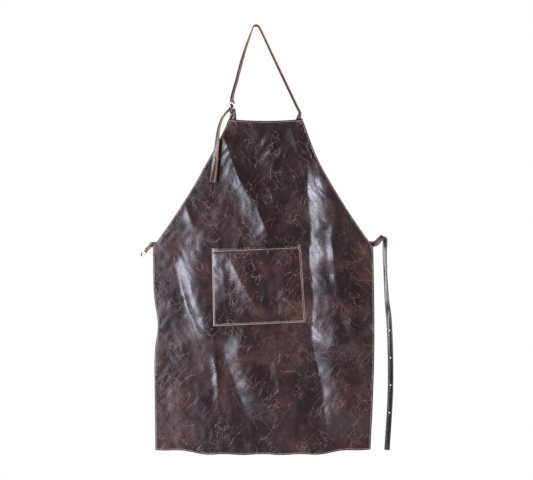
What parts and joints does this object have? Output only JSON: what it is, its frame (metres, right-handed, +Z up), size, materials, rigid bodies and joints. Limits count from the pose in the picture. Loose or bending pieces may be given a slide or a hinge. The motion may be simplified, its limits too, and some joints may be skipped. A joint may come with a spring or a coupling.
{
  "type": "welding apron",
  "caption": "Long leather bib apron with a patch pocket, a buckled neck strap hung by its loop, and a buckled waist strap.",
  "frame": {"origin": "the underside of the neck strap at the middle of its width, where the apron hangs from its peg", "axes": "+Z up as it hangs, +Y from the front of the apron towards the wearer, +X to the right as seen from the front"},
  "size_m": [0.6945, 0.0672, 1.1709],
  "materials": {
    "apron_leather": "dark brown full grain, crackled, soft sheen",
    "strap_leather": "dark brown full grain, soft sheen",
    "strap_lining": "dark brown full grain, soft sheen",
    "stitching": "twisted thread, matte",
    "buckle_metal": "polished nickel plate"
  },
  "bodies": {
    "neck_loop": {"neck_strap_outer": "strap_leather", "neck_strap_lining": "strap_lining", "neck_strap_thread": "stitching", "neck_chape": "apron_leather", "neck_buckle_frame": "buckle_metal"},
    "neck_roller": {"neck_buckle_roller": "buckle_metal"},
    "neck_prong": {"neck_buckle_prong": "buckle_metal"},
    "neck_tail": {"neck_tail_outer": "strap_leather", "neck_tail_lining": "strap_lining", "neck_tail_thread": "stitching"},
    "apron": {"main_panel": "apron_leather", "edge_thread": "stitching", "pocket": "apron_leather", "pocket_thread": "stitching", "pocket_mouth_thread": "stitching", "neck_strap_end": "strap_leather", "neck_chape_end": "apron_leather", "waist_strap_end": "strap_leather", "waist_tab_end": "apron_leather"},
    "waist_strap_root": {"waist_root_outer": "strap_leather", "waist_root_lining": "strap_lining", "waist_root_thread": "stitching"},
    "waist_strap": {"waist_strap_outer": "strap_leather", "waist_strap_lining": "strap_lining", "waist_strap_thread": "stitching"},
    "waist_tab": {"waist_tab": "apron_leather"},
    "waist_buckle": {"waist_buckle_frame": "buckle_metal"},
    "waist_roller": {"waist_buckle_roller": "buckle_metal"},
    "waist_prong": {"waist_buckle_prong": "buckle_metal"}
  },
  "joints": [
    {"name": "bib_fold", "type": "hinge", "parent": "neck_loop", "child": "apron", "pos_m": [0.0257, 0.0076, -0.2506], "axis": [1, 0, 0], "range_deg": [0, 90]},
    {"name": "tail_swing", "type": "hinge", "parent": "neck_loop", "child": "neck_tail", "pos_m": [-0.0824, -0.0077, -0.2379], "axis": [0, 1, 0], "range_deg": [-8, 22]},
    {"name": "neck_prong_hinge", "type": "hinge", "parent": "neck_loop", "child": "neck_prong", "pos_m": [-0.06465, 0.00585, -0.2296], "axis": [0.6364, -0.7431, 0.2068], "range_deg": [0, 3]},
    {"name": "neck_roller_spin", "type": "hinge", "parent": "neck_loop", "child": "neck_roller", "pos_m": [-0.07092, 0.00585, -0.21029], "axis": [0.6364, -0.7431, 0.2068], "continuous": true},
    {"name": "waist_strap_fold", "type": "hinge", "parent": "apron", "child": "waist_strap_root", "pos_m": [0.321, 0.0187, -0.593], "axis": [0, 0, 1], "range_deg": [0, 150]},
    {"name": "waist_strap_swing", "type": "hinge", "parent": "waist_strap_root", "child": "waist_strap", "pos_m": [0.3475, 0.0127, -0.5712], "axis": [0, -1, 0], "range_deg": [0, 100]},
    {"name": "waist_tab_fold", "type": "hinge", "parent": "apron", "child": "waist_tab", "pos_m": [-0.2847, 0.0176, -0.595], "axis": [0, 0, -1], "range_deg": [0, 90]},
    {"name": "waist_buckle_pivot", "type": "hinge", "parent": "waist_tab", "child": "waist_buckle", "pos_m": [-0.30149, 0.02662, -0.61009], "axis": [0, 0.8083, 0.5888], "range_deg": [-40, 40]},
    {"name": "waist_prong_hinge", "type": "hinge", "parent": "waist_buckle", "child": "waist_prong", "pos_m": [-0.30149, 0.02662, -0.61009], "axis": [0, 0.8083, 0.5888], "range_deg": [0, 65]},
    {"name": "waist_roller_spin", "type": "hinge", "parent": "waist_buckle", "child": "waist_roller", "pos_m": [-0.31469, 0.03624, -0.62329], "axis": [0, 0.8083, 0.5888], "continuous": true}
  ]
}
